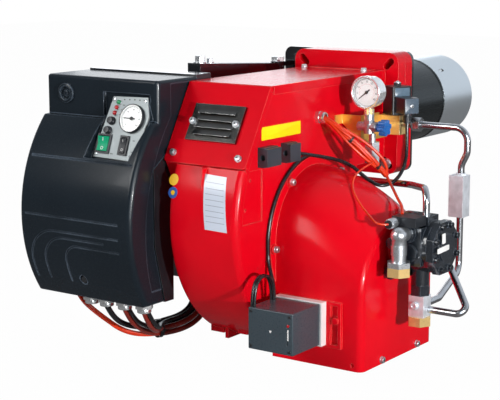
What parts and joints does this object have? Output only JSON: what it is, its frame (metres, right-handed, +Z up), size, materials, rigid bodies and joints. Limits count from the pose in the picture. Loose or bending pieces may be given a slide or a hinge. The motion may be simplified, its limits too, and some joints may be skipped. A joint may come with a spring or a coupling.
{
  "type": "oil burner",
  "caption": "Swing-out forced-draught oil burner: scroll fan housing, blast tube, fuel pump with lines, pressure gauge, air damper servo and control box.",
  "frame": {"origin": "centre of the four boiler studs, on the rear face of the hinge plate, where the burner meets the boiler door", "axes": "+Y along the blast tube into the boiler, +Z up, +X towards the pump side"},
  "size_m": [0.7169, 0.9162, 0.497],
  "materials": {
    "red_paint": "gloss textured enamel",
    "black_paint": "gloss enamel",
    "dark_steel": "heat-darkened",
    "stainless": "rolled sheet",
    "bright_zinc": "zinc plated",
    "dark_plate": "black nickel",
    "brass": "turned",
    "yellow_zinc": "yellow passivated",
    "cast_aluminium": "as cast and milled",
    "galvanised": "galvanised sheet",
    "motor_paint": "satin",
    "pump_black": "satin",
    "tube_steel": "drawn tube",
    "cover_black": "semi-gloss moulded",
    "plastic_black": "moulded",
    "servo_white": "moulded",
    "panel_silver": "satin printed panel",
    "gauge_chrome": "polished",
    "dial_white": "printed dial",
    "needle_black": "matt",
    "green_lens": "translucent",
    "button_red": "translucent",
    "knob_blue": "moulded",
    "gland_metal": "nickel plated",
    "cable_black": "satin PVC",
    "cable_red": "satin silicone",
    "cable_orange": "glossy silicone"
  },
  "bodies": {
    "boiler_side": {"hinge_plate": "black_paint", "rear_flange": "red_paint", "blast_tube": "dark_steel", "tube_nose": "stainless", "diffuser_disc": "stainless", "nozzle_holder": "brass", "hinge_pin": "bright_zinc"},
    "burner": {"arm_bolts": "bright_zinc", "box_cable_black": "cable_black", "box_cable_brown": "cable_red", "box_cable_orange": "cable_red", "box_cable_red": "cable_red", "cable_glands": "gland_metal", "collar_cable": "cable_black", "connector_blocks": "plastic_black", "control_base": "black_paint", "control_cover": "cover_black", "control_panel": "panel_silver", "cross_fitting": "bright_zinc", "din_plug": "plastic_black", "fan_housing": "red_paint", "front_cover": "red_paint", "gauge_bracket": "yellow_zinc", "gauge_case": "gauge_chrome", "hinge_arm": "black_paint", "housing_screws": "bright_zinc", "intake_housing": "red_paint", "line_down": "tube_steel", "line_high": "tube_steel", "line_return": "tube_steel", "line_short": "tube_steel", "louvre_grille": "dark_plate", "metering_blocks": "cast_aluminium", "motor": "motor_paint", "panel_dial": "dial_white", "panel_fittings": "plastic_black", "port_nuts": "brass", "pressure_switch": "bright_zinc", "pump_body": "pump_black", "pump_cover": "pump_black", "pump_solenoid": "plastic_black", "pump_wire": "cable_orange", "servo_base": "servo_white", "servo_cover": "plastic_black", "servo_loop": "cable_black", "sleeve_cable": "cable_orange", "solenoid_coil": "plastic_black", "suction_elbow": "bright_zinc", "thermo_wire": "cable_orange", "top_cover": "red_paint", "valve_block": "brass", "valve_cable": "cable_black"},
    "rotor": {"fan_rotor": "galvanised"},
    "damper": {"damper_flap": "cast_aluminium"},
    "gauge_hand": {"gauge_pointer": "needle_black"},
    "dial_hand": {"dial_pointer": "needle_black"},
    "power_key": {"power_rocker": "green_lens"},
    "stage_key": {"stage_rocker": "plastic_black"},
    "reset": {"reset_button": "button_red"},
    "cock": {"cock_knob": "knob_blue"}
  },
  "joints": [
    {"name": "burner_swing", "type": "hinge", "parent": "boiler_side", "child": "burner", "pos_m": [-0.163, -0.05, 0.06], "axis": [0, 0, -1], "range_deg": [0, 60]},
    {"name": "rotor_spin", "type": "hinge", "parent": "burner", "child": "rotor", "pos_m": [0, -0.312, -0.185], "axis": [1, 0, 0], "continuous": true},
    {"name": "damper_turn", "type": "hinge", "parent": "burner", "child": "damper", "pos_m": [0.15, -0.312, -0.304], "axis": [0, 1, 0], "range_deg": [0, 90]},
    {"name": "gauge_hand_turn", "type": "hinge", "parent": "burner", "child": "gauge_hand", "pos_m": [0.148, -0.235, 0.058], "axis": [0, 1, 0], "range_deg": [0, 256], "stiffness_Nm_per_rad": 0.0002},
    {"name": "dial_hand_turn", "type": "hinge", "parent": "burner", "child": "dial_hand", "pos_m": [-0.124, -0.5446, 0.02368], "axis": [0, 0.9409, -0.3387], "range_deg": [-45, 225], "stiffness_Nm_per_rad": 0.0002},
    {"name": "power_key_rock", "type": "hinge", "parent": "burner", "child": "power_key", "pos_m": [-0.175, -0.55969, -0.02059], "axis": [1, 0, 0], "range_deg": [-12, 0]},
    {"name": "stage_key_rock", "type": "hinge", "parent": "burner", "child": "stage_key", "pos_m": [-0.131, -0.55969, -0.02059], "axis": [1, 0, 0], "range_deg": [-12, 0]},
    {"name": "reset_press", "type": "slide", "parent": "burner", "child": "reset", "axis": [0, 1, 0], "range_m": [0, 0.003], "stiffness_N_per_m": 300},
    {"name": "cock_turn", "type": "hinge", "parent": "burner", "child": "cock", "pos_m": [0.172, -0.225, -0.003], "axis": [1, 0, 0], "range_deg": [0, 90]}
  ]
}
